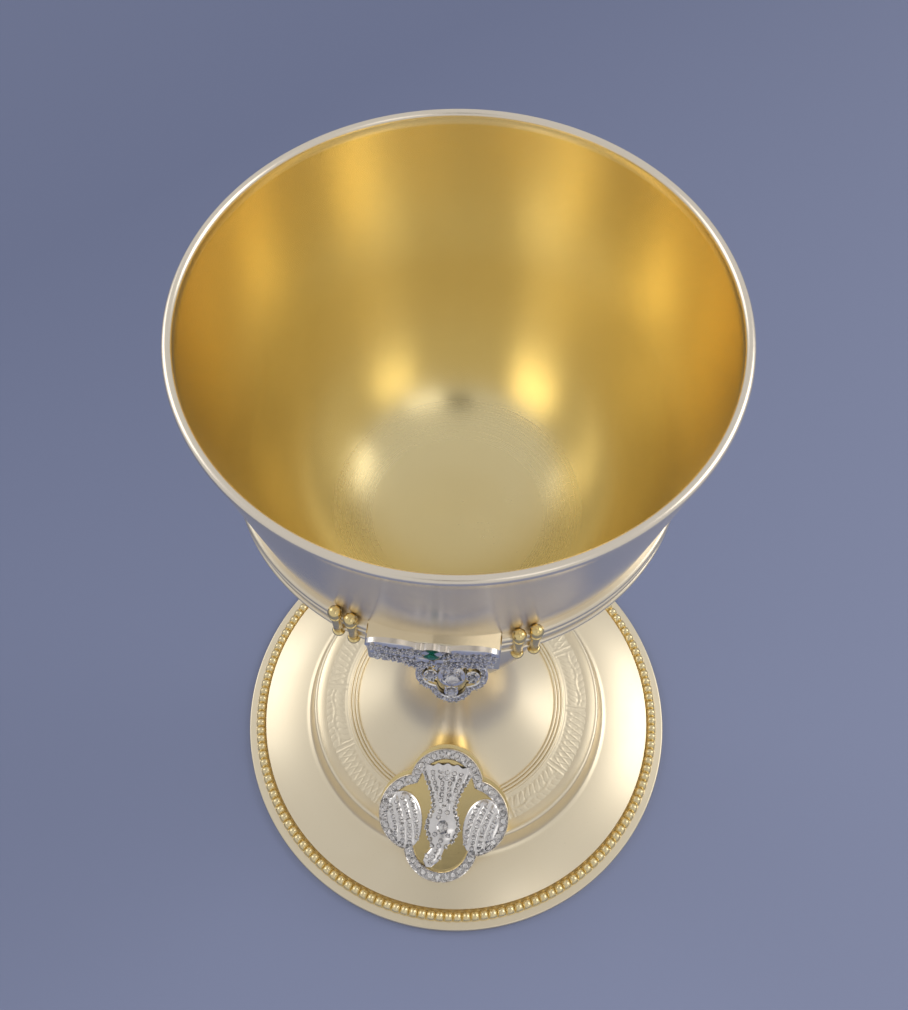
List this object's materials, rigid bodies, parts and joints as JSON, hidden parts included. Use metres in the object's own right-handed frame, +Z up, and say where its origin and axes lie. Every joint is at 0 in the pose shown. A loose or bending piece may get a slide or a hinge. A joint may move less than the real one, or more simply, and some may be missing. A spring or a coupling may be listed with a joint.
{
  "type": "chalice",
  "caption": "Standing metal cup on a turned stem with a round knop and a wide stepped foot, with jewelled quatrefoil and bow mounts on its front.",
  "frame": {"origin": "centre of the foot's underside, on the surface that the chalice stands on", "axes": "+Z up along the stem, -Y towards the front with the jewelled mounts, +X to the right seen from the front"},
  "size_m": [0.1442, 0.1442, 0.22],
  "materials": {
    "cup_gilding": "satin, brushed round the inside",
    "satin_gilt": "pale satin gilding",
    "bright_gilt": "bright yellow gilding",
    "white_metal": "white metal set with small clear stones",
    "green_stone": "polished deep green stone"
  },
  "bodies": {
    "root": {"cup": "cup_gilding", "calyx": "satin_gilt", "upper_stem": "satin_gilt", "knop": "satin_gilt", "knop_jewel_seat": "bright_gilt", "knop_jewel": "white_metal", "lower_stem": "satin_gilt", "foot": "satin_gilt", "foot_beading": "bright_gilt", "medallion_seat": "bright_gilt", "dove_medallion": "white_metal", "bow_seat": "bright_gilt", "bow_jewel": "white_metal", "emerald": "green_stone", "pillar_left_outer": "bright_gilt", "pillar_left_inner": "bright_gilt", "pillar_right_inner": "bright_gilt", "pillar_right_outer": "bright_gilt"}
  },
  "joints": []
}
